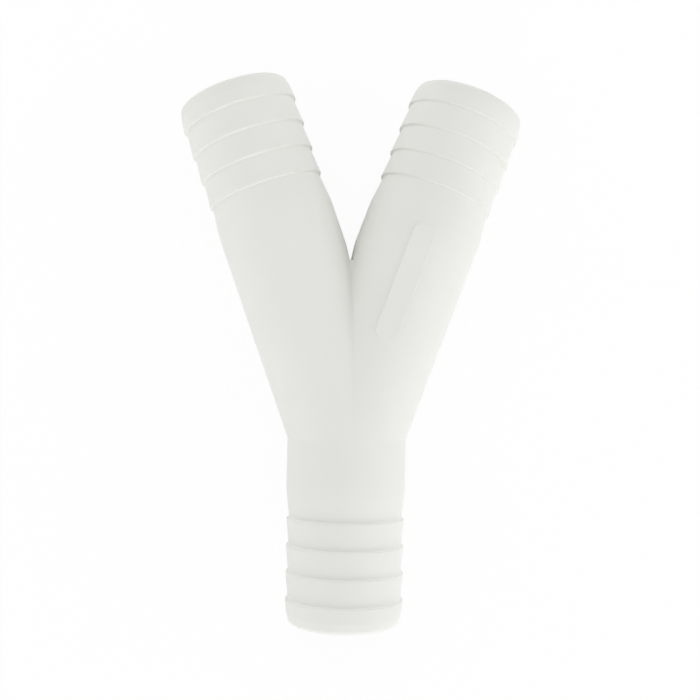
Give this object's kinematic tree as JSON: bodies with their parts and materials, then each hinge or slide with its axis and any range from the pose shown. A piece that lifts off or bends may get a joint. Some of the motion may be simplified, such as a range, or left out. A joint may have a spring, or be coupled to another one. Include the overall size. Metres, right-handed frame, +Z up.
{
  "type": "tubing y connector",
  "caption": "Y-shaped hose connector moulded in one piece, with a stem that divides into a pair of equal legs and a barbed tail on every end for clamped flexible hose.",
  "frame": {"origin": "under the middle of the part, at its lowest point, as it lies on one face of the Y", "axes": "+Z up, square to the plane of the Y; the stem points towards -Y and the two legs towards +Y, one each side of the YZ plane"},
  "size_m": [0.1118, 0.1772, 0.0386],
  "materials": {
    "body_plastic": "satin moulded plastic, warm neutral white"
  },
  "bodies": {
    "root": {"y_connector": "body_plastic"}
  },
  "joints": []
}
